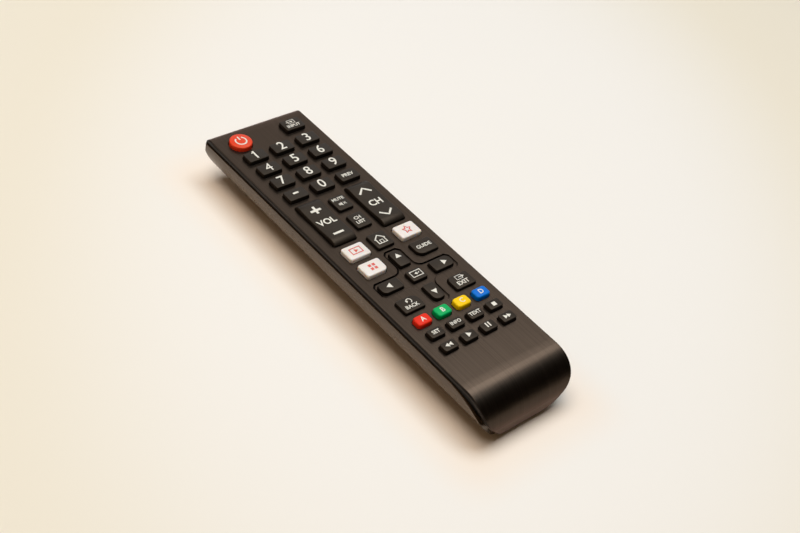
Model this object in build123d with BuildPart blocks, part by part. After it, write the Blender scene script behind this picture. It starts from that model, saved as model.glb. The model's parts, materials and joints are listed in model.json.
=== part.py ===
"""Slim infrared TV remote control: two shells, forty keys, two rockers, and what is inside.

Frame: X across, +Y towards the far (infrared) end, +Z up. The origin is at the centre of the
footprint, on the surface that the remote lies on. Everything is in millimetres.
"""

import math
import os
from dataclasses import dataclass

from build123d import *

os.makedirs("parts", exist_ok=True)

# Body
length = 150.8
far_end = length / 2
near_end = -length / 2
body_height = 18.2  # resting surface to fascia
fascia_width = 40.0
housing_width = 40.4
wall = 1.6
corner_radius = 1.0  # far corners, seen from above
far_edge_radius = 3.0  # far edge of the fascia, seen from the side
rim_bevel = 0.25  # bevel along the fascia's edge

# Near end, seen from the side: the fascia rolls over and down
roll_radius = 11.0
roll_height = body_height - roll_radius
skirt_radius = 20.0

# Far end, seen from the side: the underside sweeps up
bow_length = 27.5
bow_height = 14.0

# Seam between the shells, measured down from the fascia
seam_drop = 2.3
seam_gap = 0.15

# Key grid
number_pitch_x = 11.3
number_pitch_y = 7.88
number_top_row = 57.15
number_width = 8.1
number_depth = 4.9
small_pitch_x = 8.46
small_pitch_y = 6.45
small_top_row = -35.2
small_width = 5.6
small_depth = 3.6
pad_y = -17.55  # centre of the arrow keys
window_gap = 0.25
key_rise = 1.45  # key top above the fascia
key_travel = 0.8
rocker_shoulder = 1.6  # highest line of a rocker above the fascia, near each end
rocker_dish = 0.35  # how much lower its middle is
rocker_end_rise = 0.6  # its ends above the fascia
rocker_end_run = 2.6  # length of each rolled end
recess_depth = 0.5  # plus-shaped recess round the arrow keys
recess_length_x, recess_width_x = 33.2, 7.3
recess_length_y, recess_width_y = 28.0, 7.3
recess_inner_radius = 2.9
recess_outer_radius = 2.3

# Heights of what lies inside
plate_underside = body_height - wall
board_top = 14.4
board_thickness = 1.2
board_underside = board_top - board_thickness
flange_top = plate_underside - 0.15
flange_thickness = 0.7
flange_width = 0.5
pill_bottom = board_top + key_travel + 0.1
mat_gap = 0.2

# AAA cells and their bay
cell_radius = 5.25
cell_length = 43.7
nub_length = 0.8
nub_radius = 1.9
cell_x = 5.6  # centre line of each cell
cell_z = 6.85
bay_near = -69.8
bay_far = -18.4
bay_half_width = 11.4
bay_wall = 1.0
bay_ceiling = 12.2
cell_middle = (bay_near + bay_far) / 2

# Battery door
door_far = -12.8
door_near = -72.9
door_half_width = 13.0
door_thickness = 1.5
door_lip = 1.4  # how far its thin edge tucks under the housing
door_gap = 0.15
door_edge_depth = 0.9  # from the underside's skin in to the thin edge

# Lip that locates the cover: its outer and inner faces below the housing's skin
lip_outer, lip_inner = 2.15, 2.9
lip_middle, lip_length = 7.2, 124.0
lip_bottom, lip_top = 12.3, 16.5
lip_foot = 1.0

reach = 200.0  # longer than anything here, for cutting tools


def finish(solid, name):
    """Label a finished piece and write it out."""
    solid.label = name
    export_step(solid, f"parts/{name}.step")


# Outlines of the body


def hull_outline(half_width, keel, flank, radii, inset=0.0):
    """Cross-section of a boat-shaped shell: flat keel, leaning flank, upright side.

    keel and flank are the (x, z) corners before rounding, and inset is a wall thickness.
    """
    lean = math.atan2(flank[1] - keel[1], flank[0] - keel[0])
    keel_x = keel[0] - inset * math.tan(lean / 2)
    keel_z = keel[1] + inset
    flank_x = half_width - inset
    flank_z = flank[1] + inset * math.tan((math.pi / 2 - lean) / 2)
    top = body_height + 2
    with BuildSketch(Plane.XZ) as outline:
        with BuildLine():
            FilletPolyline(
                (0, keel_z),
                (keel_x, keel_z),
                (flank_x, flank_z),
                (flank_x, top),
                radius=[radii[0] - inset, radii[1] - inset],
            )
            Polyline((flank_x, top), (0, top), (0, keel_z))
        make_face()
        mirror(about=Plane.YZ)
    return outline.sketch


def housing_section(inset=0.0):
    """Cross-section of the rear housing and the battery door."""
    half = housing_width / 2
    return hull_outline(half, (11.1, 0), (half, 10.6), (8.0, 13.0), inset)


def cover_section(inset=0.0):
    """Cross-section that trims the front cover, and so its rolled end."""
    half = fascia_width / 2
    return hull_outline(half, (10.1, 1.75), (half, 12.2), (6.0, 14.9), inset)


def cover_profile(inset=0.0):
    """Side view of the front cover's outside: flat fascia, rolled end, skirt."""
    skirt_y = near_end + skirt_radius
    skirt_reach = math.degrees(math.asin(roll_height / (skirt_radius - inset)))
    with BuildSketch(Plane.YZ) as profile:
        with BuildLine():
            top_z = body_height - inset
            top = Line((far_end - inset, top_z), (near_end + roll_radius, top_z))
            CenterArc((near_end + roll_radius, roll_height), roll_radius - inset, 90, 90)
            skirt = CenterArc((skirt_y, roll_height), skirt_radius - inset, 180, skirt_reach)
            Polyline(skirt @ 1, (far_end - inset, (skirt @ 1).Y), top @ 0)
        make_face()
        if inset < far_edge_radius:
            fillet(profile.vertices().sort_by(lambda v: v.X + v.Y)[-1], far_edge_radius - inset)
    return profile.sketch


def below_seam(gap=0.0):
    """Side view of everything below the seam, lowered by a gap all along it."""
    seam_z = body_height - seam_drop - gap
    turn_y = -55.8
    end_y = door_near + gap
    with BuildSketch(Plane.YZ) as profile:
        with BuildLine():
            straight = Polyline((far_end + 1, 0), (far_end + 1, seam_z), (turn_y, seam_z))
            EllipticalCenterArc((turn_y, roll_height), turn_y - end_y, seam_z - roll_height, 90, arc_size=90)
            Polyline((end_y, roll_height), (end_y, 0), straight @ 0)
        make_face()
        fillet(profile.vertices().sort_by(lambda v: v.X + v.Y)[0], 1.2)
    return profile.sketch


def housing_profile(inset=0.0):
    """Side view of the rear housing's outside: flat keel, far end swept up, open above."""
    bow_y = far_end - bow_length
    with BuildSketch(Plane.YZ) as profile:
        with BuildLine():
            bow = EllipticalCenterArc(
                (bow_y, bow_height), bow_length - inset, bow_height - inset, 270, arc_size=90
            )
            Polyline(
                bow @ 1,
                (far_end - inset, body_height + 1),
                (near_end, body_height + 1),
                (near_end, inset),
                bow @ 0,
            )
        make_face()
    return profile.sketch


def plan_outline(half_width, inset=0.0):
    """The body from above, with its rounded far corners."""
    with BuildSketch(Plane.XY) as plan:
        Rectangle(2 * (half_width - inset), length - 2 * inset)
        if inset < corner_radius:
            fillet(plan.vertices().group_by(Axis.Y)[-1], corner_radius - inset)
    return plan.sketch


def between(profile, section, plan):
    """Solid whose side view, cross-section and plan are all given."""
    with BuildPart() as body:
        extrude(profile, amount=reach / 2, both=True)
        extrude(section, amount=reach, both=True, mode=Mode.INTERSECT)
        extrude(plan, amount=reach / 2, both=True, mode=Mode.INTERSECT)
    return body.part


# Keys

bevel_share = 2 - math.sqrt(2)  # leg of the bevel that touches a corner's arc, over its radius


@dataclass
class Key:
    """One key: where it stands, its size from above, and its corners."""

    name: str
    x: float
    y: float
    width: float = number_width
    depth: float = number_depth
    rise: float = key_rise
    corner: float = 0.8
    soft: tuple = ()  # directions of the corners that have a large radius
    soft_radius: float = 2.0
    edge: float = 0.25  # bevel round the top face, if it has one
    round: bool = False


def key_outline(key, grow=0.0, rounded=True):
    """The key from above, grown by a clearance.

    Small corners, and all of them unless rounded, get the bevel that touches their arc.
    """
    with BuildSketch(Plane.XY) as outline:
        if key.round:
            Circle(key.width / 2 + grow)
        else:
            Rectangle(key.width + 2 * grow, key.depth + 2 * grow)
            for x, y in ((-1, -1), (-1, 1), (1, -1), (1, 1)):
                corner = outline.vertices().sort_by(lambda v: v.X * x + v.Y * y)[-1]
                soft = (x, y) in key.soft
                radius = grow + (key.soft_radius if soft else key.corner)
                if soft and rounded:
                    fillet(corner, radius)
                else:
                    chamfer(corner, radius * bevel_share)
    return outline.sketch.moved(Location((key.x, key.y)))


def key_pocket(key, grow):
    """Plain rectangle round a key, for its flange and for the mat's opening."""
    with BuildSketch(Plane.XY) as pocket:
        with Locations((key.x, key.y)):
            Rectangle(key.width + 2 * grow, key.depth + 2 * grow)
    return pocket.sketch


def number_keys():
    """The number block: three columns and four rows, with a dash and a previous-channel key."""
    names = [f"number_key_{digit}" for digit in range(1, 10)] + ["dash_key", "number_key_0", "previous_key"]
    keys = []
    for index, name in enumerate(names):
        row, column = divmod(index, 3)
        keys.append(Key(name, (column - 1) * number_pitch_x, number_top_row - row * number_pitch_y))
    return keys


def small_keys():
    """Three rows of four: coloured pillows, then two rows of plain keys."""
    rows = (
        ("red_key", "green_key", "yellow_key", "blue_key"),
        ("settings_key", "info_key", "caption_key", "stop_key"),
        ("rewind_key", "play_key", "pause_key", "forward_key"),
    )
    keys = []
    for row, names in enumerate(rows):
        for column, name in enumerate(names):
            x = (column - 1.5) * small_pitch_x
            y = small_top_row - row * small_pitch_y
            if row == 0:
                keys.append(Key(name, x, y, small_width + 0.2, small_depth + 0.5, 1.6, 1.3, edge=0.6))
            else:
                keys.append(Key(name, x, y, small_width, small_depth, corner=0.7, edge=0))
    return keys


def pad_keys():
    """Select key with the four arrows round it, each rounded at its outer end."""
    ends = {
        "up_key": (0, 1, ((-1, 1), (1, 1))),
        "down_key": (0, -1, ((-1, -1), (1, -1))),
        "left_key": (-1, 0, ((-1, -1), (-1, 1))),
        "right_key": (1, 0, ((1, -1), (1, 1))),
    }
    keys = [Key("select_key", 0, pad_y, 6.1, 4.9, 0.65)]
    for name, (x, y, soft) in ends.items():
        width, depth = (8.4, 4.6) if x else (4.6, 7.2)
        keys.append(Key(name, 11.2 * x, pad_y + 8.9 * y, width, depth, 0.65, 0.6, soft, 1.7, edge=0))
    return keys


outer_x = 11.15  # columns beside the arrow keys
upper_y, lower_y = pad_y + 9.3, pad_y - 9.9
simple_keys = [
    Key("power_key", -11.4, 66.25, 8.25, 8.25, 1.6, round=True, edge=0.35),
    Key("source_key", number_pitch_x, 66.3, number_width, 5.6),
    *number_keys(),
    Key("mute_key", 0, 23.0, 6.1, 7.0, 1.0),
    Key("list_key", 0, 12.8, 6.1, 7.0, 1.0),
    Key("home_key", 0, 1.35, 7.0, 7.0, 1.0),
    Key("shortcut_key_left", -outer_x, 0.65, 8.6, 6.2, 1.35, edge=0.4),
    Key("shortcut_key_right", outer_x, 0.65, 8.6, 6.2, 1.35, edge=0.4),
    Key("shortcut_key_lower", -outer_x, upper_y, 8.6, 6.1, 1.35, soft=((1, -1),), soft_radius=1.8, edge=0.4),
    Key("guide_key", outer_x, upper_y, 8.6, 6.1, 1.0, soft=((-1, -1),), soft_radius=2.6),
    *pad_keys(),
    Key("return_key", -outer_x, lower_y, 8.4, 5.9, 1.0, soft=((1, 1),), soft_radius=2.6),
    Key("exit_key", outer_x, lower_y, 8.4, 5.9, 1.0, soft=((-1, 1),), soft_radius=1.8),
    *small_keys(),
]
all_corners = ((-1, -1), (-1, 1), (1, -1), (1, 1))
rocker_x, rocker_y = 10.75, 17.55
rocker_width, rocker_length = 9.4, 22.2
rockers = [
    Key(name, side * rocker_x, rocker_y, rocker_width, rocker_length, soft=all_corners, soft_radius=1.0)
    for name, side in (("volume_rocker", -1), ("channel_rocker", 1))
]
rocker_flange_top = flange_top - 0.65  # room for the flange to tilt
pill_width = 2.6
rocker_pill_width = 3.0
rocker_pill_place = 0.36  # of the rocker's length, from its middle
rocker_rib_width = 0.9


def build_key(key):
    """Cap through the window, flange that holds it in, and a plunger with its contact pill."""
    with BuildPart() as whole:
        with BuildSketch(Plane.XY.offset(flange_top)):
            add(key_outline(key))
        extrude(amount=body_height + key.rise - flange_top)
        if key.edge:
            chamfer(whole.faces().sort_by(Axis.Z)[-1].edges(), key.edge)
        with BuildSketch(Plane.XY.offset(flange_top)):
            add(key_pocket(key, flange_width))
        extrude(amount=-flange_thickness)
        with BuildSketch(Plane.XY.offset(pill_bottom)):
            with Locations((key.x, key.y)):
                Rectangle(pill_width, pill_width)
        extrude(amount=flange_top - flange_thickness - pill_bottom)
    return whole.part


def rocker_profile(key):
    """Side view of a rocker's cap: dished between its shoulders, and rolled down at both ends."""
    shoulder_z = body_height + rocker_shoulder
    end_z = body_height + rocker_end_rise
    half = key.depth / 2
    shoulder = half - rocker_end_run
    with BuildSketch(Plane.YZ) as side:
        with BuildLine():
            dish = ThreePointArc(
                (key.y - shoulder, shoulder_z),
                (key.y, shoulder_z - rocker_dish),
                (key.y + shoulder, shoulder_z),
            )
            far_roll = TangentArc(dish @ 1, (key.y + half, end_z), tangent=(1, 0))
            near_roll = TangentArc(dish @ 0, (key.y - half, end_z), tangent=(-1, 0))
            Polyline(
                far_roll @ 1,
                (key.y + half, rocker_flange_top),
                (key.y - half, rocker_flange_top),
                near_roll @ 1,
            )
        make_face()
    return side.sketch


def build_rocker(key):
    """Cap on a cross rib that it tilts on, with a contact pill under each end."""
    flange_bottom = rocker_flange_top - flange_thickness
    with BuildPart() as whole:
        extrude(rocker_profile(key), amount=reach / 2, both=True)
        with BuildSketch(Plane.XY) as outline:
            add(key_outline(key))
        extrude(amount=reach, mode=Mode.INTERSECT)
        with BuildSketch(Plane.XY.offset(rocker_flange_top)):
            add(key_pocket(key, flange_width))
        extrude(amount=-flange_thickness)
        with BuildSketch(Plane.XY.offset(flange_bottom)):
            for end in (-1, 1):
                with Locations((key.x, key.y + end * rocker_pill_place * key.depth)):
                    Rectangle(rocker_pill_width, rocker_pill_width)
        extrude(amount=pill_bottom - 0.3 - flange_bottom)
        with BuildSketch(Plane.XY.offset(flange_bottom)):
            with Locations((key.x, key.y)):
                Rectangle(key.width - 2, rocker_rib_width)
        extrude(amount=board_top + 0.1 - flange_bottom)
    return whole.part


snap_places = (-38.8, -0.8, 37.2)
snap_length = 4.0

# Locating pegs stand between the keys, where four key pockets meet
peg_places = [
    (side * number_pitch_x / 2, number_top_row - (row + 0.5) * number_pitch_y) for row in (0, 2) for side in (-1, 1)
] + [(side * small_pitch_x, small_top_row - 1.5 * small_pitch_y) for side in (-1, 1)]
peg_width = 1.0


# Front cover

with BuildPart() as front_cover:
    add(between(cover_profile(), cover_section(), plan_outline(fascia_width / 2)))
    rim = front_cover.edges().filter_by(Axis.Y).group_by(Axis.Z)[-1]
    chamfer(rim, rim_bevel)  # runs on round both ends
    add(
        between(cover_profile(wall), cover_section(wall), plan_outline(fascia_width / 2, wall)),
        mode=Mode.SUBTRACT,
    )
    extrude(below_seam(), amount=reach / 2, both=True, mode=Mode.SUBTRACT)
    # Plus-shaped recess round the arrow keys
    with BuildSketch(Plane.XY.offset(body_height - recess_depth)) as recess:
        with Locations((0, pad_y)):
            Rectangle(recess_length_x, recess_width_x)
            Rectangle(recess_width_y, recess_length_y)
        by_distance = recess.vertices().sort_by(lambda v: math.hypot(v.X, v.Y - pad_y))
        fillet(by_distance[:4], recess_inner_radius)
        ends = recess.vertices().sort_by(lambda v: math.hypot(v.X, v.Y - pad_y))[-8:]
        chamfer(ends, recess_outer_radius * bevel_share)
    extrude(amount=2 * recess_depth, mode=Mode.SUBTRACT)
    # A window for every key
    with BuildSketch(Plane.XY.offset(plate_underside - 0.1)) as windows:
        for key in simple_keys:
            add(key_outline(key, window_gap, rounded=False))
        for key in rockers:
            add(key_outline(key, window_gap + 0.1, rounded=False))
    extrude(amount=wall + 1, mode=Mode.SUBTRACT)
    # Recesses for the snap bumps of the housing
    for side in (-1, 1):
        with Locations(*((side * 18.25, y, 15.95) for y in snap_places)):
            Box(0.6, snap_length + 0.4, 0.9, mode=Mode.SUBTRACT)
    # Locating pegs through the mat into the board
    with BuildSketch(Plane.XY.offset(plate_underside + 0.1)):
        with Locations(*peg_places):
            Rectangle(peg_width, peg_width)
    extrude(amount=board_underside + 0.2 - plate_underside - 0.1)
finish(front_cover.part, "front_cover")


# Rear housing

rib_places = (14.0, 44.0)
post_places = [(side * 12.5, y) for y in (18.2, 40.2) for side in (-1, 1)]
post_radius = 1.6
lamp_z = 10.2
lamp_radius = 2.5
lamp_tip = far_end - 0.9
tab_width = 3.0
trim = wall - 0.2  # inner parts reach this far into the shell's wall


def underside_layer(outer, inner, half_width, far):
    """A layer of the underside's skin between two depths, as wide and long as given."""
    with BuildPart() as skin:
        extrude(housing_section(outer), amount=reach, both=True)
        extrude(housing_section(inner), amount=reach, both=True, mode=Mode.SUBTRACT)
        with Locations((0, far - reach / 2, 0)):
            Box(2 * half_width, reach, 12, mode=Mode.INTERSECT)
    return skin.part


with BuildPart() as inside:
    # Deck over the cells, bay walls, bulkheads and ribs, before they are trimmed to the shell
    bay_length = bay_far - bay_near
    deck_z = board_underside - 0.1
    with Locations((0, cell_middle, deck_z)):
        Box(
            housing_width,
            bay_length + 2 * bay_wall,
            deck_z - bay_ceiling,
            align=(Align.CENTER, Align.CENTER, Align.MAX),
        )
    low = (Align.CENTER, Align.CENTER, Align.MIN)
    for side in (-1, 1):
        with Locations((side * (bay_half_width + bay_wall / 2), cell_middle, 0)):
            Box(bay_wall, bay_length + 2 * bay_wall, deck_z, align=low)
    with Locations((0, bay_near - bay_wall / 2, 0), (0, bay_far + bay_wall / 2, 0)):
        Box(housing_width, bay_wall, deck_z, align=low)
    with Locations((0, cell_middle, bay_ceiling - 1.6)):
        Box(0.9, bay_length - 8, 2.0, align=low)
    with Locations(*((0, y, 0) for y in rib_places)):
        Box(housing_width, 1.0, 6.0, align=low)
    with BuildSketch(Plane.XY):
        with Locations(*post_places):
            RegularPolygon(post_radius, 6)
    extrude(amount=board_underside - 0.05)
    add(
        between(housing_profile(trim), housing_section(trim), plan_outline(housing_width / 2, trim)),
        mode=Mode.INTERSECT,
    )

with BuildPart() as lip:
    # Upright lip inside the rim, which locates the cover
    extrude(housing_section(lip_outer), amount=reach, both=True)
    extrude(housing_section(lip_inner), amount=reach, both=True, mode=Mode.SUBTRACT)
    with Locations((0, lip_middle, lip_bottom)):
        Box(housing_width, lip_length, lip_top - lip_bottom, align=low, mode=Mode.INTERSECT)
    # Its foot runs out into the wall of the shell
    with Locations((0, lip_middle, lip_bottom)):
        Box(housing_width - 2 * (wall - 0.4), lip_length, lip_foot, align=low)
    with Locations((0, lip_middle, lip_bottom)):
        Box(housing_width - 2 * lip_inner, lip_length + 2, lip_foot, align=low, mode=Mode.SUBTRACT)

with BuildPart() as rear_housing:
    add(between(housing_profile(), housing_section(), plan_outline(housing_width / 2)))
    add(
        between(housing_profile(wall), housing_section(wall), plan_outline(housing_width / 2, wall)),
        mode=Mode.SUBTRACT,
    )
    add(inside.part)
    extrude(below_seam(seam_gap), amount=reach / 2, both=True, mode=Mode.INTERSECT)
    add(lip.part)
    # Snap bumps on the lip
    for side in (-1, 1):
        with Locations(*((side * 18.0, y, 15.9) for y in snap_places)):
            Box(0.7, snap_length, 0.5)
    # Opening for the door, and the ledge that its thin edge slides behind
    opening_depth = door_thickness + 0.25
    lip_room = door_lip + 0.2
    add(underside_layer(-1, opening_depth, door_half_width, door_far), mode=Mode.SUBTRACT)
    add(
        underside_layer(door_edge_depth - 0.2, opening_depth, door_half_width + lip_room, door_far + lip_room),
        mode=Mode.SUBTRACT,
    )
    # Slots where the contact tabs go up to the board
    with Locations(*((side * cell_x, bay_far - 0.25, bay_ceiling) for side in (-1, 1))):
        Box(tab_width + 0.4, 0.9, 4, mode=Mode.SUBTRACT)
    # Hole for the infrared lamp
    with Locations(Location((0, far_end, lamp_z), (90, 0, 0))):
        Cylinder(lamp_radius + 0.15, 12, mode=Mode.SUBTRACT)
finish(rear_housing.part, "rear_housing")


# Battery door

grip_y = -21.8
grip_width, grip_length = 13.0, 9.0
grip_depth = 0.6
ridge_pitch = 1.9
ridge_width = 0.7

with BuildPart() as battery_door:
    add(underside_layer(0, door_thickness, door_half_width - door_gap, door_far - door_gap))
    add(underside_layer(door_edge_depth, door_thickness, door_half_width + door_lip, door_far + door_lip))
    extrude(below_seam(seam_gap), amount=reach / 2, both=True, mode=Mode.INTERSECT)
    # Thumb grip: a shallow pocket with ridges across it
    with BuildSketch(Plane.XY):
        with Locations((0, grip_y)):
            RectangleRounded(grip_width, grip_length, 3)
    extrude(amount=grip_depth, mode=Mode.SUBTRACT)
    with BuildSketch(Plane.XY.offset(grip_depth / 4)):
        with Locations((0, grip_y)):
            with GridLocations(0, ridge_pitch, 1, 4):
                Rectangle(grip_width - 3, ridge_width)
    extrude(amount=grip_depth)
finish(battery_door.part, "battery_door")


# Keypad mat

mat_half_width = 16.9
mat_near, mat_far = -54.0, 71.8
board_half_width = 16.8
board_near, board_far = -55.2, 71.0

with BuildPart() as keypad_mat:
    with BuildSketch(Plane.XY.offset(board_top + 0.02)) as mat:
        with Locations((0, (mat_near + mat_far) / 2)):
            Rectangle(2 * mat_half_width, mat_far - mat_near)
        for key in simple_keys + rockers:
            add(key_pocket(key, flange_width + mat_gap), mode=Mode.SUBTRACT)
        with Locations(*peg_places):
            Rectangle(peg_width + 0.2, peg_width + 0.2, mode=Mode.SUBTRACT)
    extrude(amount=plate_underside - 0.02 - board_top - 0.02)
finish(keypad_mat.part, "keypad_mat")


# Circuit board and what is on it

with BuildPart() as circuit_board:
    with BuildSketch(Plane.XY.offset(board_underside)):
        with Locations((0, (board_near + board_far) / 2)):
            Rectangle(2 * board_half_width, board_far - board_near)
        with Locations(*peg_places):
            Rectangle(peg_width + 0.2, peg_width + 0.2, mode=Mode.SUBTRACT)
    extrude(amount=board_thickness)
finish(circuit_board.part, "circuit_board")

under_board = Plane.XY.offset(board_underside - 0.02)
small_parts_y = 56.2  # transistor and chip resistors

with BuildPart() as control_chip:
    chip_y = 23.2
    with BuildSketch(under_board.offset(-0.1)):
        with Locations((0, chip_y)):
            Rectangle(12.8, 7.5)
    extrude(amount=-2.2)
    chamfer(control_chip.edges().filter_by(Axis.X).group_by(Axis.Z)[0], 0.3)
    with BuildSketch(under_board):
        with Locations((0, chip_y)):
            with GridLocations(1.27, 1, 10, 1):
                Rectangle(0.42, 10.2)
    extrude(amount=-0.4)
finish(control_chip.part, "control_chip")

with BuildPart() as resonator:
    with BuildSketch(under_board):
        with Locations((-9.5, 33.7)):
            Rectangle(6.4, 3.0)
    extrude(amount=-4.5)
    chamfer(resonator.edges().filter_by(Axis.Z), 0.9)
finish(resonator.part, "resonator")

with BuildPart() as capacitor:
    can_radius = 2.5
    can_x = 7.5
    can_z = board_underside - 0.05 - can_radius
    with Locations(Location((can_x, 42.2, can_z), (90, 0, 0))):
        Cylinder(can_radius, 10.0)
finish(capacitor.part, "capacitor")

with BuildPart() as transistor:
    transistor_x = 6.5
    with BuildSketch(under_board.offset(-0.1)):
        with Locations((transistor_x, small_parts_y)):
            Rectangle(2.9, 1.5)
    extrude(amount=-1.0)
    leg_places = [(0, 1.1), (-0.95, -1.1), (0.95, -1.1)]
    with BuildSketch(under_board):
        with Locations(*((transistor_x + x, small_parts_y + y) for x, y in leg_places)):
            Rectangle(0.5, 0.9)
    extrude(amount=-0.25)
finish(transistor.part, "transistor")

with BuildPart() as chip_resistors:
    with BuildSketch(under_board):
        with Locations((-7.5, small_parts_y)):
            with GridLocations(3.2, 0, 4, 1):
                Rectangle(1.3, 2.1)
    extrude(amount=-0.55)
finish(chip_resistors.part, "chip_resistors")

with BuildPart() as ir_led:
    # Domed lens along Y, and two leads bent up to the board
    lens_base = lamp_tip - 8.0
    lead_x = 1.27
    lead_width = 0.5
    lead_run = 3.0
    with BuildSketch(Plane.YZ):
        with BuildLine():
            Polyline(
                (lens_base, lamp_z),
                (lens_base, lamp_z + lamp_radius),
                (lamp_tip - 1.7, lamp_z + lamp_radius),
                (lamp_tip - 0.5, lamp_z + 0.7 * lamp_radius),
                (lamp_tip, lamp_z),
                close=True,
            )
        make_face()
    revolve(axis=Axis((0, 0, lamp_z), (0, 1, 0)))
    for side in (-1, 1):
        with BuildSketch(Plane.XZ.offset(-lens_base)):
            with Locations((side * lead_x, lamp_z)):
                Rectangle(lead_width, lead_width)
        extrude(amount=lead_run)
        with BuildSketch(Plane.XY.offset(lamp_z - lead_width / 2)):
            with Locations((side * lead_x, lens_base - lead_run + lead_width / 2)):
                Rectangle(lead_width, lead_width)
        extrude(amount=board_underside - 0.02 - lamp_z + lead_width / 2)
finish(ir_led.part, "ir_led")


# Cells and their contacts

plate = 0.4
contact_width, contact_height = 9.6, 8.6
contact_reach = 2.2  # bay wall to the positive nub
boss_radius = 2.6
spring_turns = 2
spring_wide, spring_narrow = 3.4, 2.2
spring_wire = 0.25
cell_ends = {"battery_left": (-1, 1), "battery_right": (1, -1)}  # side, and which way the nub points


def cell_span(name):
    """Y of a cell's flat base and of its nub's tip."""
    way = cell_ends[name][1]
    tip = (bay_far if way > 0 else bay_near) - way * contact_reach
    return tip - way * (cell_length + nub_length), tip


for name, (side, way) in cell_ends.items():
    base, tip = cell_span(name)
    with BuildPart() as cell:
        with BuildSketch(Plane.XY):
            with BuildLine():
                Polyline(
                    (0, 0),
                    (cell_radius, 0),
                    (cell_radius, cell_length),
                    (nub_radius, cell_length),
                    (nub_radius, cell_length + nub_length),
                    (0, cell_length + nub_length),
                    close=True,
                )
            make_face()
        revolve(axis=Axis.Y)
    turn = 0 if way > 0 else 180
    finish(cell.part.moved(Location((side * cell_x, base, cell_z), (0, 0, turn))), name)


def contact_spring(x, wall_y, way, free_length):
    """Conical spring on a contact plate, its wide coil on the plate."""
    coil_height = free_length - 2 * spring_wire
    lean = math.degrees(math.atan((spring_wide - spring_narrow) / coil_height))
    with BuildPart() as spring:
        with BuildLine() as coil:
            Helix(coil_height / spring_turns, coil_height, spring_wide, cone_angle=-lean)
        with BuildSketch(Plane(origin=coil.line @ 0, z_dir=coil.line % 0)):
            RegularPolygon(spring_wire, 4)
        sweep(is_frenet=True)
    seat = Plane(origin=(x, wall_y + way * spring_wire, cell_z), x_dir=(1, 0, 0), z_dir=(0, way, 0))
    return spring.part.moved(seat.location)


def contact_plate(x, wall_y, way, width):
    """Upright sheet-metal plate against a bay wall."""
    with BuildPart() as sheet:
        with BuildSketch(Plane(origin=(x, wall_y, cell_z), x_dir=(1, 0, 0), z_dir=(0, way, 0))):
            Rectangle(width, contact_height)
        extrude(amount=plate)
    return sheet.part


def contact_boss(x, wall_y, way):
    """Dished boss that reaches a cell's nub."""
    with BuildPart() as boss:
        with BuildSketch(Plane(origin=(x, wall_y + way * plate, cell_z), x_dir=(1, 0, 0), z_dir=(0, way, 0))):
            Circle(boss_radius)
        extrude(amount=contact_reach - plate - 0.03, taper=25)
    return boss.part


def contact_tab(x, wall_y, way):
    """Tab from a plate up through the deck to the board."""
    with BuildPart() as tab:
        with Locations((x, wall_y + way * plate / 2, cell_z + 3)):
            Box(tab_width, plate, board_underside - 0.03 - cell_z - 3, align=(Align.CENTER, Align.CENTER, Align.MIN))
    return tab.part


left_base = cell_span("battery_left")[0]
right_base = cell_span("battery_right")[0]
near_face = bay_near + 0.03
far_face = bay_far - 0.03

with BuildPart() as positive_contact:
    add(contact_plate(-cell_x, far_face, -1, contact_width))
    add(contact_boss(-cell_x, far_face, -1))
    add(contact_tab(-cell_x, far_face, -1))
finish(positive_contact.part, "positive_contact")

with BuildPart() as negative_contact:
    add(contact_plate(cell_x, far_face, -1, contact_width))
    add(contact_spring(cell_x, far_face - plate, -1, far_face - plate - right_base - 0.05))
    add(contact_tab(cell_x, far_face, -1))
finish(negative_contact.part, "negative_contact")

with BuildPart() as bridge_contact:
    add(contact_plate(0, near_face, 1, 2 * cell_x + contact_width))
    add(contact_spring(-cell_x, near_face + plate, 1, left_base - near_face - plate - 0.05))
    add(contact_boss(cell_x, near_face, 1))
finish(bridge_contact.part, "bridge_contact")


# Keys

for key in simple_keys:
    finish(build_key(key), key.name)
for key in rockers:
    finish(build_rocker(key), key.name)
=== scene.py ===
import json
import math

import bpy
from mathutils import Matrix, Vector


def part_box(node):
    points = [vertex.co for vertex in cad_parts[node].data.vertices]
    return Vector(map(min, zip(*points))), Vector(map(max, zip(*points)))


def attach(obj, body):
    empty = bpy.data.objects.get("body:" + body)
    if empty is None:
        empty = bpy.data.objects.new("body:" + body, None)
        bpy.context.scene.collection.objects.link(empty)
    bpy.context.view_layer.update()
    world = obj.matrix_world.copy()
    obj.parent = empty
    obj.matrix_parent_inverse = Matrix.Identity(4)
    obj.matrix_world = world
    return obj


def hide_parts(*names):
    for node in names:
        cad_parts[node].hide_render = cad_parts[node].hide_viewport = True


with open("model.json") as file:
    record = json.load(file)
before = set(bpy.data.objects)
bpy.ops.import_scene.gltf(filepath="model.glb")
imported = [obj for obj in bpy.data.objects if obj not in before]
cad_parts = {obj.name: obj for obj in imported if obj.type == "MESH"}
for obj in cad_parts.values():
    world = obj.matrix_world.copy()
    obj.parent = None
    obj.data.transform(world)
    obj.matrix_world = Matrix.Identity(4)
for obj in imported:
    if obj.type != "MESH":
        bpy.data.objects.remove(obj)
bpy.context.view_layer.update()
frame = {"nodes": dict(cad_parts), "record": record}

# %% [markdown]
# A slim TV remote control, dressed for its portrait.
#
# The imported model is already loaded: two shells, a battery door, forty keys, two rockers and
# what lies inside, each where the CAD says. Everything here is in metres. The remote lies on
# the floor at z = 0 with its far, infrared end at +Y. This script never moves a CAD node. It
# gives each one a finish, and it models the pieces that a closer look asks for: key caps with
# soft edges, the two rockers, and the printed legends on them.

mm = 0.001
nodes = frame["nodes"]
members_of = frame["record"]["behaviour"]["bodies"]
body_of_node = {node: body for body, members in members_of.items() for node in members}

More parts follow.
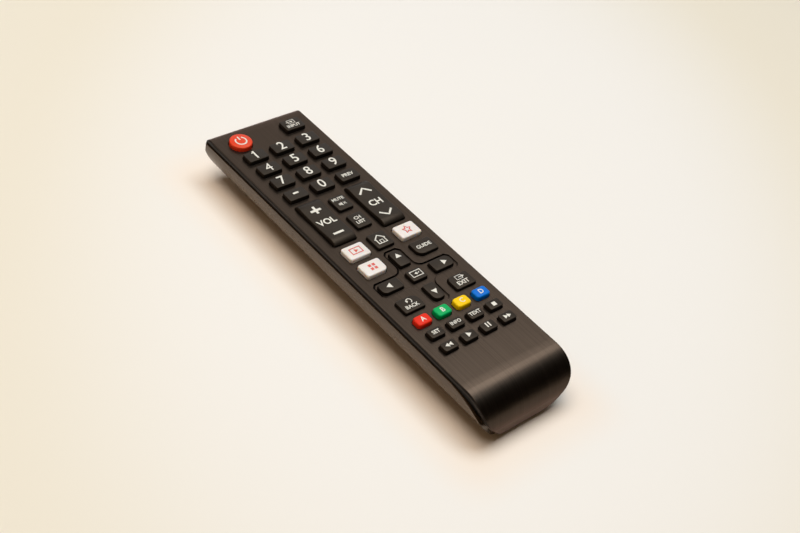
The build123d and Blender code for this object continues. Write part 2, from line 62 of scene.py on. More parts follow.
# %% [markdown]
# The camera stands where the photographer stood: over the near left corner, looking down at
# about forty degrees, with the picture tilted a little. A medium-long lens keeps the far end
# from shrinking too much.

# %% The camera
camera_place = (-0.2458, -0.2232, 0.3018)
camera_turn = [math.radians(angle) for angle in (47.911, -10.038, -40.094)]
bpy.ops.object.camera_add(location=camera_place, rotation=camera_turn)
camera = bpy.context.object
camera.data.sensor_width = 36
camera.data.lens = 58.8
bpy.context.scene.camera = camera
print("camera", camera_place, "lens", camera.data.lens)

# %% [markdown]
# Light. The shadow in the photograph is short, soft and a little brown, so the room is lit
# from two broad sheets overhead, like a ceiling that a flash bounces off. The left one is
# warmer than the right one. What the satin surfaces mirror is set apart from that: `band`
# makes the bright band where the fascia starts to roll over, `wall` gives the flat of the
# fascia its grey gleam, `glow` lifts the near left of that flat, and `rim` draws the light
# line along the rims. These four only show in gloss, so they cast no shadow. Each lamp is an
# oval area light that faces the remote from a direction, at a distance in metres.

# %% Softboxes
def softbox(name, towards, distance, width, height, power, tint=(1, 1, 1), gloss_only=False):
    """An oval area light that stands in a direction from the remote and faces it."""
    place = Vector(towards).normalized() * distance
    turn = (-place).to_track_quat("-Z", "Y").to_euler()
    bpy.ops.object.light_add(type="AREA", location=place, rotation=turn)
    lamp = bpy.context.object
    lamp.name = name
    lamp.data.shape = "ELLIPSE"
    lamp.data.size = width
    lamp.data.size_y = height
    lamp.data.energy = power
    lamp.data.color = tint
    lamp.visible_diffuse = not gloss_only
    print("softbox", name, "at", [round(c, 2) for c in place], power, "W")


# name, direction, distance, width, height, watts and tint
softbox("ceiling left", (-0.25, 0.06, 1.0), 1.3, 1.10, 0.62, 9.4, (1.0, 0.90, 0.80))
softbox("ceiling right", (0.20, 0.09, 1.0), 1.3, 1.10, 0.62, 10.8, (0.82, 0.92, 1.0))
softbox("band", (0.57, 0.165, 0.80), 1.5, 0.60, 0.40, 4.3, gloss_only=True)
softbox("glow", (0.52, 0.40, 0.82), 1.5, 0.50, 0.30, 0.15, gloss_only=True)
softbox("wall", (0.52, 0.70, 0.42), 1.5, 1.30, 1.20, 4.0, gloss_only=True)
softbox("rim", (-0.62, 0.52, 0.60), 1.5, 0.80, 0.60, 2.7, gloss_only=True)

# %% [markdown]
# Shader maths reads best as ordinary maths. A `Field` wraps one output socket, and its
# operators add Math nodes, so `1 - mask` or `grain * 0.3 + 0.4` builds the nodes that say that.
# Every other node comes from `Finish.node`, which takes the node's type, its settings and the
# values or links of its sockets.

# %% Fields and finishes
class Field:
    """A value that changes over a surface: an output socket that can be reckoned with."""

    def __init__(self, finish, socket):
        self.finish = finish
        self.socket = socket

    def maths(self, operation, first, second=0.0):
        return self.finish.node("ShaderNodeMath", {"operation": operation}, {0: first, 1: second})

    def __add__(self, other):
        return self.maths("ADD", self, other)

    def __sub__(self, other):
        return self.maths("SUBTRACT", self, other)

    def __rsub__(self, other):
        return self.maths("SUBTRACT", other, self)

    def __mul__(self, other):
        return self.maths("MULTIPLY", self, other)

    def __abs__(self):
        return self.maths("ABSOLUTE", self)

    def at_least(self, other):
        """The larger of two values."""
        return self.maths("MAXIMUM", self, other)

    def at_most(self, other):
        """The smaller of two values."""
        return self.maths("MINIMUM", self, other)

    __radd__ = __add__
    __rmul__ = __mul__


class Recipe:
    """A tree of shader nodes being built, over the coordinates of one kind."""

    def __init__(self, tree, coordinates):
        self.tree = tree
        self.tree.nodes.clear()
        self.place = self.node("ShaderNodeTexCoord", output=coordinates)

    def node(self, kind, settings=None, sockets=None, output=0):
        node = self.tree.nodes.new(kind)
        for setting, value in (settings or {}).items():
            setattr(node, setting, value)
        for socket, value in (sockets or {}).items():
            if isinstance(value, Field):
                self.tree.links.new(value.socket, node.inputs[socket])
            else:
                node.inputs[socket].default_value = value
        return Field(self, node.outputs[output])

    def ramp(self, value, low, high):
        """0 below low, 1 above high, and smooth between."""
        sockets = {"Value": value, "From Min": low, "From Max": high}
        return self.node("ShaderNodeMapRange", {"interpolation_type": "SMOOTHSTEP"}, sockets)

    def axis(self, letter, vector=None):
        """One component of a vector, by default of the place on the object."""
        return self.node("ShaderNodeSeparateXYZ", {}, {0: vector or self.place}, output=letter)

    def length(self, first, second):
        """Length of the vector that two fields make."""
        squares = first * first + second * second
        return self.node("ShaderNodeMath", {"operation": "SQRT"}, {0: squares})

    def dot(self, first, second):
        """Dot product: 1 where two directions agree, or a distance along a direction."""
        settings = {"operation": "DOT_PRODUCT"}
        return self.node("ShaderNodeVectorMath", settings, {0: first, 1: second}, output="Value")

    def blend(self, factor, first, second):
        """A colour between two colours."""
        settings = {"data_type": "RGBA"}
        return self.node("ShaderNodeMix", settings, {0: factor, 6: first, 7: second}, output=2)

    def end(self, kind, shader):
        """The output node, which has no outputs of its own."""
        self.tree.links.new(shader.socket, self.tree.nodes.new(kind).inputs["Surface"])


class Finish(Recipe):
    """A material being built, and the few recipes that several finishes share."""

    def __init__(self, name):
        self.material = bpy.data.materials.new(name)
        self.material.use_nodes = True
        super().__init__(self.material.node_tree, "Object")

    def noise(self, scale, detail=2.0):
        """Cloudy noise from 0 to 1; scale is in features per metre along each axis."""
        settings = {"operation": "MULTIPLY"}
        stretched = self.node("ShaderNodeVectorMath", settings, {0: self.place, 1: scale})
        sockets = {"Vector": stretched, "Scale": 1.0, "Detail": detail}
        return self.node("ShaderNodeTexNoise", {}, sockets)

    def bump(self, height, strength, depth, over=None):
        """A normal from a height field, over the plain normal or another; depth is in metres."""
        sockets = {"Height": height, "Strength": strength, "Distance": depth}
        if over:
            sockets["Normal"] = over
        return self.node("ShaderNodeBump", {}, sockets)

    def softened(self, radius):
        """A normal that runs round sharp edges, and a mask of the edges that it softens."""
        round_normal = self.node("ShaderNodeBevel", {"samples": 6}, {"Radius": radius})
        true_normal = self.node("ShaderNodeNewGeometry", output="Normal")
        return round_normal, 1 - self.ramp(self.dot(round_normal, true_normal), 0.80, 0.97)

    def close(self, **sockets):
        """Ends the material in one Principled BSDF. Underscores stand for spaces."""
        named = {key.replace("_", " "): value for key, value in sockets.items()}
        self.end("ShaderNodeOutputMaterial", self.node("ShaderNodeBsdfPrincipled", {}, named))
        return self.material


def colour(red, green, blue):
    """An opaque colour, as a socket takes it."""
    return (red, green, blue, 1.0)


print("shader helpers ready")

# %% [markdown]
# The floor is a pale warm sheet of paper with a painted pool of light: it is painted lightest a
# little beyond the remote, and browner further out towards the corners. `across` and `beyond`
# say how far a place lies from the middle of that pool, to the right and away. Close to the
# remote, where its shadow falls, the sheet is painted a shade browner too: painted shade that
# gives the shadow a warm colour.

# %% The floor
pool_radius, corner_radius = 70 * mm, 170 * mm
half_width, half_length, shadow_reach = 20 * mm, 75 * mm, 22 * mm
paper = Finish("floor_paper")
across = paper.dot(paper.place, (0.77, -0.64, 0)) - 34 * mm
beyond = paper.dot(paper.place, (0.38, 0.44, 0)) - 34 * mm
# painted light: 0 in the painted pool of light, 1 far out, where the sheet is painted browner
painted_pool_falloff = paper.ramp(across * across + beyond * beyond, pool_radius**2, corner_radius**2)
past_side = paper.ramp(abs(paper.axis("X")), half_width, half_width + shadow_reach)
past_end = paper.ramp(abs(paper.axis("Y")), half_length, half_length + shadow_reach)
# painted shade: the sheet is painted browner where the remote's shadow falls
painted_shadow_warmth = (1 - past_side) * (1 - past_end)
sheet = paper.blend(painted_pool_falloff, colour(0.90, 0.866, 0.815), colour(0.855, 0.785, 0.65))
paper_material = paper.close(
    Base_Color=paper.blend(painted_shadow_warmth, sheet, colour(0.925, 0.81, 0.695)),
    Roughness=0.75,
    Specular_IOR_Level=0.2,
    Normal=paper.bump(paper.noise((900, 900, 900), 3), 0.1, 0.05 * mm),
)
bpy.ops.mesh.primitive_plane_add(size=6)
floor = bpy.context.object
floor.name = "floor"
floor.data.materials.append(paper_material)
print("floor", tuple(floor.dimensions))

# %% [markdown]
# Seen by the camera, the room beyond the sheet's edge has the same pale colour. To the object
# the room is nearly dark, so that black plastic stays black, apart from a weak warm light from
# the left that fills the shadow there.

# %% The room
world = bpy.data.worlds.new("room")
bpy.context.scene.world = world
world.use_nodes = True
room = Recipe(world.node_tree, "Generated")
from_left = room.ramp(room.axis("X") * -1.0, 0.0, 0.8)
fill = {"Color": colour(1.0, 0.70, 0.42), "Strength": from_left * 0.25 + 0.02}
felt = room.node("ShaderNodeBackground", {}, fill)
seen = room.node("ShaderNodeBackground", {}, {"Color": colour(0.90, 0.83, 0.72)})
camera_ray = room.node("ShaderNodeLightPath", output="Is Camera Ray")
surroundings = room.node("ShaderNodeMixShader", {}, {0: camera_ray, 1: felt, 2: seen})
room.end("ShaderNodeOutputWorld", surroundings)
bpy.context.scene.view_settings.view_transform = "Standard"
print("room", world.name)

# %% [markdown]
# The fascia is black plastic under a dark metallised lacquer with hairlines drawn along its
# length, so it is treated as a metal of very low brightness. The lines are noise squeezed hard
# across X and stretched along Y. They stir the brightness and tilt the surface a hair. The
# narrow side of the same moulding is bare plastic: plain dark, with hardly any gloss, and a
# mask on the surface's X direction finds it. Moulded edges are never quite sharp, so a Bevel
# node rounds them by a tenth of a millimetre or two, and the same node says where the edges
# are, where handling has polished the lacquer a little brighter. The flat also starts to fall
# away a little before each end: two gentle slopes in the relief, as the real one is crowned.

# %% Brushed fascia: lines, edges and slopes
fascia_z = 18.2 * mm
lines_per_metre = 5200
fascia = Finish("brushed_fascia")
hairline = fascia.noise((lines_per_metre, 30, 30), 2)
streak = fascia.noise((1900, 12, 12), 2)
drift = fascia.noise((70, 25, 25), 3)
facing = fascia.axis("X", fascia.node("ShaderNodeNewGeometry", output="Normal"))
side = fascia.ramp(abs(facing), 0.55, 0.85)
round_normal, edges = fascia.softened(0.18 * mm)
lines = hairline * 0.7 + streak * 0.3
sideways, along, up = [fascia.axis(letter) for letter in "XYZ"]
near_slope = fascia.ramp(along, -68 * mm, -61.5 * mm) * (0.18 * mm)
far_slope = fascia.ramp(along, 70.5 * mm, 75.4 * mm) * (0.45 * mm)
crown_normal = fascia.bump(near_slope - far_slope, 1.0, 1.0, round_normal)
print("fascia hairlines", round(1 / lines_per_metre / mm, 2), "mm apart or so")

# %% [markdown]
# Two marks on the fascia are laid out by distance. The first is a painted highlight: a faint
# lighter stripe along its bare side. `depth` says how far a place on the side lies under the
# fascia's outer edge, and past the start of the roll it is measured from the centre of the roll,
# so that the stripe follows the rolled end round.

# %% The painted highlight along the side
near_roll = 11 * mm
roll_starts = -64.4 * mm
past_start = (roll_starts - along).at_least(0.0)
over_centre = (up - (fascia_z - near_roll)).at_least(0.0)
depth = near_roll - fascia.length(past_start, over_centre)
below_edge = fascia.ramp(depth, 0.7 * mm, 1.0 * mm)
below_stripe = fascia.ramp(depth, 1.35 * mm, 1.7 * mm)
# painted highlight: the dark side is painted lighter in this stripe
painted_stripe = below_edge * (1 - below_stripe)
side_colour = fascia.blend(painted_stripe, colour(0.003, 0.0025, 0.002), colour(0.028, 0.021, 0.016))
print("stripe under the edge, round a roll of", near_roll / mm, "mm")

# %% [markdown]
# The second mark is painted shade: a dark outline round the plus-shaped recess round the
# arrow keys. `inside` says how far a place lies within that outline, which is moved a little
# to the right. The floor of the recess is painted nearly black along the line as shade, so
# that the walls which hide from the camera are outlined as darkly as the ones it sees. The near
# side of the recess catches the light, so no shade is painted there, apart from the right side
# of the down key's arm.

# %% The painted shade round the recess
recess_y = -17.55 * mm
recess_reach_x, recess_reach_y = 16.6 * mm, 14.0 * mm
arm_half_width = 3.65 * mm
inner_fillet = 2.9 * mm
end_chamfer = 1.0 * mm
shift_right = 0.4 * mm
diagonal = 0.71

aside = abs(sideways - shift_right)
beside = abs(along - recess_y)
fillet_centre = arm_half_width + inner_fillet
past_x = (fillet_centre - aside).at_least(0.0)
past_y = (fillet_centre - beside).at_least(0.0)
from_arms = fascia.length(past_x, past_y) - inner_fillet
from_ends = (recess_reach_x - aside).at_most(recess_reach_y - beside)
inside = from_arms.at_most(from_ends)
from_corners = (from_arms + from_ends) * diagonal - end_chamfer
near_line = 1 - fascia.ramp(inside.at_most(from_corners), 0.3 * mm, 0.5 * mm)

under_flat = 1 - fascia.ramp(up, fascia_z - 0.35 * mm, fascia_z - 0.3 * mm)
in_recess = fascia.ramp(inside, -0.8 * mm, -0.7 * mm) * under_flat
far_half = fascia.ramp(along, -21.2 * mm, -20.2 * mm)
right_of_down = fascia.ramp(sideways, 2.6 * mm, 3.2 * mm)
right_of_down *= 1 - fascia.ramp(sideways, 5.2 * mm, 6.4 * mm)
# painted shade: nearly black along the recess's outline
painted_recess_shade = in_recess * near_line * far_half.at_least(right_of_down)
print("recess outlined round y =", recess_y / mm, "mm")

# %% [markdown]
# All of this comes together in one material. The top is metal, a shade brighter along some of
# the hairlines, rubbed bright on the edges and painted nearly black with shade along the recess,
# and the sides are plastic with a painted lighter stripe. A clear coat over dark plastic could
# also be tried, but its reflection has no colour, and the real gleam is a brown grey.

# %% The fascia's lacquer
dull_lacquer, bright_lacquer = colour(0.0465, 0.0345, 0.0255), colour(0.061, 0.0445, 0.033)
lacquer = fascia.blend(fascia.ramp(lines, 0.3, 0.7), dull_lacquer, bright_lacquer)
worn = fascia.blend(edges * 0.6, lacquer, colour(0.086, 0.064, 0.047))
# painted shade: the top is blended to near black along the recess outline
top_colour = fascia.blend(painted_recess_shade, worn, colour(0.002, 0.0016, 0.0012))
fascia_material = fascia.close(
    Base_Color=fascia.blend(side, top_colour, side_colour),
    Metallic=1 - side,
    Roughness=lines * 0.12 + drift * 0.05 + 0.23,
    Specular_IOR_Level=0.05,
    Specular_Tint=colour(0.90, 0.78, 0.75),
    Normal=fascia.bump(lines * (1 - side), 0.4, 0.02 * mm, crown_normal),
)
print("finish", fascia_material.name)

# %% [markdown]
# The rear housing and the battery door come from a mould with a fine satin texture: a tight
# noise, shallow, with slightly uneven gloss where hands have polished it, most of all along
# the edges. Dark plastics here mirror the room a little brown, so their gleam is tinted.

# %% Satin housing
def satin(name, base, gleam, rough, grain=3500, uneven=0.08, relief=0.02, edge=0.15, **more):
    """Moulded plastic or rubber with a fine grain, slow changes in its gloss and worn edges.

    The grain is in features per metre; the depth of the relief and the radius of the
    softened edges are in millimetres.
    """
    finish = Finish(name)
    fine = finish.noise((grain, grain, grain), 2)
    slow = finish.noise((130, 130, 130), 3)
    round_normal, edges = finish.softened(edge * mm)
    darker = [channel * 0.92 for channel in base]
    rubbed = [channel * 0.93 + 0.012 for channel in base]
    plain = finish.blend(slow, colour(*darker), colour(*base))
    return finish.close(
        Base_Color=finish.blend(edges * 0.5, plain, colour(*rubbed)),
        Roughness=slow * uneven + fine * 0.04 - edges * 0.06 + (rough - uneven / 2 - 0.02),
        Specular_Tint=gleam,
        Normal=finish.bump(fine, 0.25, relief * mm, round_normal),
        **more,
    )


warm_gleam = colour(1.0, 0.74, 0.52)
shell_brown = (0.030, 0.017, 0.008)
shell_material = satin(
    "satin_housing", shell_brown, warm_gleam, 0.28, uneven=0.04, relief=0.01, IOR=1.60
)
print("finish", shell_material.name)

# %% [markdown]
# Keys are moulded silicone with a satin skin. The coloured ones are dyed through, and the
# three shortcut keys are a harder, whiter plastic. White plastic lets light in by about a
# millimetre, which brightens the sides of these keys, so it has some subsurface scattering.

# %% Key finishes
white_gleam = colour(1, 1, 1)
key_black = (0.009, 0.007, 0.0055)
key_white = (0.85, 0.785, 0.735)
scattering = {
    "Subsurface_Weight": 0.5,
    "Subsurface_Radius": (1.0, 0.8, 0.6),
    "Subsurface_Scale": 1.0 * mm,
}
key_finish = {
    "key_rubber": satin("key_rubber_black", key_black, warm_gleam, 0.46, Specular_IOR_Level=0.29),
    "white_plastic": satin("key_plastic_white", key_white, white_gleam, 0.38, **scattering),
}
dyes = {
    "red_rubber": (0.81, 0.028, 0.009),
    "green_rubber": (0.0, 0.42, 0.11),
    "yellow_rubber": (1.0, 0.64, 0.0),
    "blue_rubber": (0.0, 0.165, 0.67),
}
for slot, dye in dyes.items():
    key_finish[slot] = satin("key_" + slot, dye, white_gleam, 0.42, Specular_IOR_Level=0.12)
ink_cream = satin("ink_cream", (0.80, 0.77, 0.68), white_gleam, 0.55, grain=6000)
ink_red = satin("ink_red", (0.72, 0.10, 0.07), white_gleam, 0.55, grain=6000)
print(len(key_finish), "key finishes and two inks")

# %% [markdown]
# What lies inside shows when the door is off. The board's laminate has pale green tracks
# under its mask, the cells have steel ends and a printed sleeve with a plain band round the
# positive end, and the contacts are nickel plate.

# %% Finishes for what lies inside
board = Finish("board_laminate")
weave = board.noise((2500, 2500, 2500), 1)
tracks = board.node(
    "ShaderNodeTexVoronoi",
    {"feature": "DISTANCE_TO_EDGE", "distance": "MANHATTAN"},
    {"Vector": board.place, "Scale": 380.0},
)
gap = board.ramp(tracks, 0.05, 0.09)
board_material = board.close(
    Base_Color=board.blend(gap, colour(0.03, 0.20, 0.07), colour(0.012, 0.09, 0.035)),
    Roughness=weave * 0.1 + 0.3,
    Normal=board.bump(gap * -1.0, 0.4, 0.03 * mm),
)


def cell_sleeve(node, nub_towards):
    """Sleeve, steel ends and one coloured band, placed by the cell's own box."""
    fade, band_length = 0.2 * mm, 12 * mm
    steel_at_near, steel_at_far = 0.6 * mm, 1.4 * mm
    low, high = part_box(node)
    near, far = low.y, high.y
    finish = Finish(node + "_sleeve")
    along_cell = finish.axis("Y")
    steel_near = 1 - finish.ramp(along_cell, near + steel_at_near, near + steel_at_near + fade)
    steel_far = finish.ramp(along_cell, far - steel_at_far, far - steel_at_far + fade)
    steel = steel_near + steel_far
    if nub_towards > 0:
        band = finish.ramp(along_cell, far - band_length, far - band_length + fade)
    else:
        band = 1 - finish.ramp(along_cell, near + band_length - fade, near + band_length)
    scuff = finish.noise((400, 90, 400), 3)
    sleeve = finish.blend(band, colour(0.03, 0.035, 0.045), colour(0.55, 0.30, 0.08))
    return finish.close(
        Base_Color=finish.blend(steel, sleeve, colour(0.6, 0.59, 0.57)),
        Metallic=steel,
        Roughness=scuff * 0.15 + 0.25,
    )


def plated(name, base, rough):
    """Plated or drawn metal with faint rubbing marks."""
    finish = Finish(name)
    rub = finish.noise((700, 2500, 700), 2)
    return finish.close(
        Base_Color=finish.blend(rub, colour(*[c * 0.8 for c in base]), colour(*base)),
        Metallic=1.0,
        Roughness=rub * 0.15 + rough,
    )


chip = Finish("chip_and_legs")
chip_low, chip_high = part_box("control_chip")
chip_half = 3.8 * mm
off_middle = abs(chip.axis("Y") - (chip_low.y + chip_high.y) / 2)
leg = chip.ramp(off_middle, chip_half, chip_half + 0.05 * mm)
chip_material = chip.close(
    Base_Color=chip.blend(leg, colour(0.012, 0.012, 0.013), colour(0.62, 0.61, 0.6)),
    Metallic=leg,
    Roughness=chip.noise((3000, 3000, 3000)) * 0.2 + 0.35,
)
lamp_smoke = (0.03, 0.012, 0.035)
power_red, power_gleam = (0.77, 0.042, 0.010), colour(1, 0.7, 0.4)
finish_of_slot = {
    "fascia_plastic": fascia_material,
    "shell_plastic": shell_material,
    "mat_rubber": satin("mat_rubber", (0.05, 0.05, 0.052), white_gleam, 0.6, grain=1800),
    "board_laminate": board_material,
    "lamp_plastic": satin(
        "lamp_smoke", lamp_smoke, white_gleam, 0.12, grain=900, Coat_Weight=0.6
    ),
    "chip_plastic": chip_material,
    "metal_can": plated("drawn_can", (0.62, 0.62, 0.63), 0.22),
    "contact_metal": plated("nickel_plate", (0.66, 0.63, 0.57), 0.2),
    **key_finish,
}
finish_of_node = {
    "battery_left": cell_sleeve("battery_left", 1),
    "battery_right": cell_sleeve("battery_right", -1),
    "chip_resistors": satin("resistor_ceramic", (0.02, 0.02, 0.022), white_gleam, 0.4),
    "power_key": satin("key_power_red", power_red, power_gleam, 0.40, Specular_IOR_Level=0.45),
}
print(len(finish_of_slot), "finishes by slot and", len(finish_of_node), "by node")

# %% [markdown]
# Each CAD node comes with the name of its plastic or metal in its material slot. That name
# picks the finish, unless the node has a finish of its own.

# %% Finishes on the CAD nodes
slot_of_node = {name: node.material_slots[0].material.name for name, node in nodes.items()}
for name, node in nodes.items():
    finish = finish_of_node.get(name) or finish_of_slot[slot_of_node[name]]
    for material_slot in node.material_slots:
        material_slot.material = finish
print(len(nodes), "nodes have a finish")

# %% [markdown]
# Modelling by operator, as by hand. Each step picks some vertices, edges or faces of the
# piece by their place or direction, goes into edit mode, and runs one tool on them. `pick`
# does the picking, and the small tools below keep the steps readable.

# %% Picking and settling pieces
hair = 0.01 * mm


def pick(piece, kind, test):
    """Goes into edit mode with only the vertices, edges or faces selected that pass a test."""
    bpy.ops.object.mode_set(mode="OBJECT")
    mesh = piece.data
    for items in (mesh.vertices, mesh.edges, mesh.polygons):
        items.foreach_set("select", [False] * len(items))
    if kind == "VERT":
        for vertex in mesh.vertices:
            vertex.select = test(vertex.co)
    elif kind == "EDGE":
        for edge in mesh.edges:
            edge.select = test(*[mesh.vertices[i].co for i in edge.vertices])
    else:
        for face in mesh.polygons:
            face.select = test(face.center, face.normal)
    modes = [kind == mode for mode in ("VERT", "EDGE", "FACE")]
    bpy.context.tool_settings.mesh_select_mode = modes
    bpy.ops.object.mode_set(mode="EDIT")


def start_block(low, high):
    """A box between two corners, alone selected, with its place in its mesh."""
    bpy.ops.object.select_all(action="DESELECT")
    middle = (Vector(low) + Vector(high)) / 2
    bpy.ops.mesh.primitive_cube_add(size=1, location=middle, scale=Vector(high) - Vector(low))
    bpy.ops.object.transform_apply(location=True, rotation=True, scale=True)
    return bpy.context.object


def extrude_up(height):
    """Pulls the selected faces up, or down for a height below zero."""
    bpy.ops.mesh.extrude_region_move(TRANSFORM_OT_translate={"value": (0, 0, height)})


def shade_soft():
    """Back in object mode, shades the rounded parts smooth and keeps sharp edges sharp."""
    bpy.ops.object.mode_set(mode="OBJECT")
    bpy.ops.object.shade_smooth_by_angle(angle=math.radians(35))


def settle(piece, name, material, body, stands_for=None):
    """Names a finished piece, gives it its finish and lets it ride on its body."""
    bpy.ops.object.mode_set(mode="OBJECT")
    piece.name = piece.data.name = name
    piece.data.materials.clear()
    piece.data.materials.append(material)
    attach(piece, body)
    if stands_for:
        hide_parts(stands_for)


print("modelling tools ready")

# %% [markdown]
# A key cap starts as its flange, the collar that keeps it behind the fascia. The flange's
# top face is inset and pulled up into the cap. The cap's upright edges are bevelled into
# round corners, each corner with its own radius, and last its rim is softened. The underside
# gets the plunger that meets the board. All keys are made by the same steps, so one function
# makes them, and the CAD box of the node says where.

# %% Steps of a key cap
flange_top = 16.45 * mm
flange_thickness = 0.7 * mm
flange_width = 0.5 * mm
plunger_width = 2.6 * mm
key_top = {}


def bevel_edges(radius, segments):
    """Rounds the selected edges."""
    bpy.ops.mesh.bevel(
        offset=radius, segments=segments, profile=0.5, affect="EDGES", clamp_overlap=False
    )


def round_uprights(piece, radius, segments, test):
    """Rounds the upright edges whose place passes a test."""
    def upright(a, b):
        return (a - b).xy.length < hair and min(a.z, b.z) > flange_top - hair and test(a)

    pick(piece, "EDGE", upright)
    bevel_edges(radius, segments)


def soften_rim(piece, radius, segments):
    """Rounds the edges round the top."""
    def is_top(centre, normal):
        return normal.z > 0.5 and centre.z > fascia_z

    pick(piece, "FACE", is_top)
    bpy.ops.mesh.region_to_loop()
    bevel_edges(radius, segments)


def flange_and_cap(node, top_of_flange):
    """The collar, the cap pulled out of it, and the plunger under it."""
    low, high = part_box(node)
    middle, size = (low + high) / 2, high - low
    bottom = top_of_flange - flange_thickness
    piece = start_block((low.x, low.y, bottom), (high.x, high.y, top_of_flange))
    pick(piece, "FACE", lambda centre, normal: normal.z > 0.5)
    bpy.ops.mesh.inset(thickness=flange_width, depth=0)
    extrude_up(high.z - top_of_flange)
    pick(piece, "FACE", lambda centre, normal: normal.z < -0.5)
    extrude_up(0)
    shrink = (plunger_width / size.x, plunger_width / size.y, 1)
    bpy.ops.transform.resize(value=shrink, center_override=(middle.x, middle.y, bottom))
    extrude_up(low.z - bottom)
    return piece, middle, high


def key_cap(node, corner, rim, soft=(), soft_radius=0.0, corner_steps=5, rim_steps=3):
    """A key, with radii in mm: soft lists the corners, as directions, with the large one."""
    soft_steps = 10
    piece, middle, high = flange_and_cap(node, flange_top)
    for x, y in ((-1, -1), (-1, 1), (1, -1), (1, 1)):
        def in_quarter(a):
            return (a.x - middle.x) * x > 0 and (a.y - middle.y) * y > 0

        if (x, y) in soft:
            round_uprights(piece, soft_radius * mm, soft_steps, in_quarter)
        else:
            round_uprights(piece, corner * mm, corner_steps, in_quarter)
    soften_rim(piece, rim * mm, rim_steps)
    shade_soft()
    finish = nodes[node].material_slots[0].material
    settle(piece, node + "_cap", finish, body_of_node[node], node)
    key_top[node] = high.z


print("flanges", flange_thickness / mm, "mm thick, plungers", plunger_width / mm, "mm wide")

# %% [markdown]
# The power key is round, so its corners take the whole of its half width. The keys next to
# the recess each have one large corner that follows it, and the arrow keys are round at
# their outer end. The coloured keys have the softest rims.

# %% Key caps
key_cap("power_key", 4.12, 0.45, corner_steps=14)
digit_names = [f"number_key_{digit}" for digit in range(10)]
for name in ["source_key", "dash_key", "previous_key"] + digit_names:
    key_cap(name, 0.5, 0.14)
for name in ("mute_key", "list_key", "home_key"):
    key_cap(name, 0.6, 0.16)
key_cap("guide_key", 0.6, 0.16, [(-1, -1)], 2.6)
key_cap("return_key", 0.6, 0.16, [(1, 1)], 2.6)
key_cap("exit_key", 0.6, 0.16, [(-1, 1)], 1.8)
key_cap("select_key", 0.5, 0.15)
arrow_ends = {
    "up_key": [(-1, 1), (1, 1)],
    "down_key": [(-1, -1), (1, -1)],
    "left_key": [(-1, -1), (-1, 1)],
    "right_key": [(1, -1), (1, 1)],
}
for name, ends in arrow_ends.items():
    key_cap(name, 0.5, 0.14, ends, 1.7)
for name in ("shortcut_key_left", "shortcut_key_right"):
    key_cap(name, 0.8, 0.45)
key_cap("shortcut_key_lower", 0.8, 0.45, [(1, -1)], 1.8)
for name in ("red_key", "green_key", "yellow_key", "blue_key"):
    key_cap(name, 1.1, 0.6, rim_steps=4)
for name in ("settings", "info", "caption", "stop", "rewind", "play", "pause", "forward"):
    key_cap(name + "_key", 0.6, 0.15)
print(len(key_top), "key caps")

# %% [markdown]
# A rocker is a longer cap whose top is dished between two shoulders and rolls down at its
# ends. It is cut across at a row of stations, and each row of top points is then moved to
# the height that its place along the key asks for. The roll at each end is an arc: its
# radius follows from how far it runs and how far it drops.

# %% Rockers
shoulder_rise = 1.6 * mm
dish_drop = 0.35 * mm
end_drop = 1.0 * mm
end_run = 2.6 * mm
rocker_flange_top = flange_top - 0.65 * mm
end_roll = (end_run**2 + end_drop**2) / (2 * end_drop)
row_slack = 0.6e-6  # rows are told apart to a millionth of a metre


def rocker_height(distance, half):
    """Height of a rocker's top above the fascia at a distance from its middle."""
    shoulder = half - end_run
    past_shoulder = abs(distance) - shoulder
    if past_shoulder <= 0:
        return shoulder_rise - dish_drop * (1 - (distance / shoulder) ** 2)
    return shoulder_rise - end_roll + math.sqrt(max(end_roll**2 - past_shoulder**2, 0))


def rocker(node):
    """A rocker on a node's place; gives its middle and half its length back."""
    piece, middle, high = flange_and_cap(node, rocker_flange_top)
    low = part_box(node)[0]
    half = (high.y - low.y) / 2 - flange_width
    stations = [share * (half - end_run) for share in (0, 0.3, 0.6, 0.85, 1)]
    stations += [half - end_run * (1 - share) for share in (0.25, 0.5, 0.75)]
    for station in sorted({side * s for s in stations for side in (-1, 1)}):
        pick(piece, "FACE", lambda centre, normal: True)
        bpy.ops.mesh.bisect(plane_co=(0, middle.y + station, 0), plane_no=(0, 1, 0))
    bpy.ops.object.mode_set(mode="OBJECT")
    rows = sorted({round(v.co.y, 6) for v in piece.data.vertices if v.co.z > high.z - hair})
    for row in rows:
        drop = fascia_z + rocker_height(row - middle.y, half) - high.z
        pick(piece, "VERT", lambda co: co.z > high.z - hair and abs(co.y - row) < row_slack)
        bpy.ops.transform.translate(value=(0, 0, drop))
    soften_rim(piece, 0.3 * mm, 3)
    shade_soft()
    settle(piece, node + "_cap", key_finish["key_rubber"], body_of_node[node], node)
    print(node, "cut at", len(rows), "rows")
    return middle, half


rocker_middle = {name: rocker(name) for name in ("volume_rocker", "channel_rocker")}

# %% [markdown]
# Legends are printed on the caps, so each one is a thin raised skin of ink. Words and digits
# are text objects turned into meshes. Signs are drawn with strokes of three kinds: a
# round-ended line, a straight bar, and a wedge for the arrows. All marks of one key are
# joined into one piece that rides with it. The words are plain function words.

# %% Strokes of ink
ink_height = 0.02 * mm
ink_depth = 0.08 * mm
size_per_capital = 1.4  # of the font's letters, over the height of its capitals


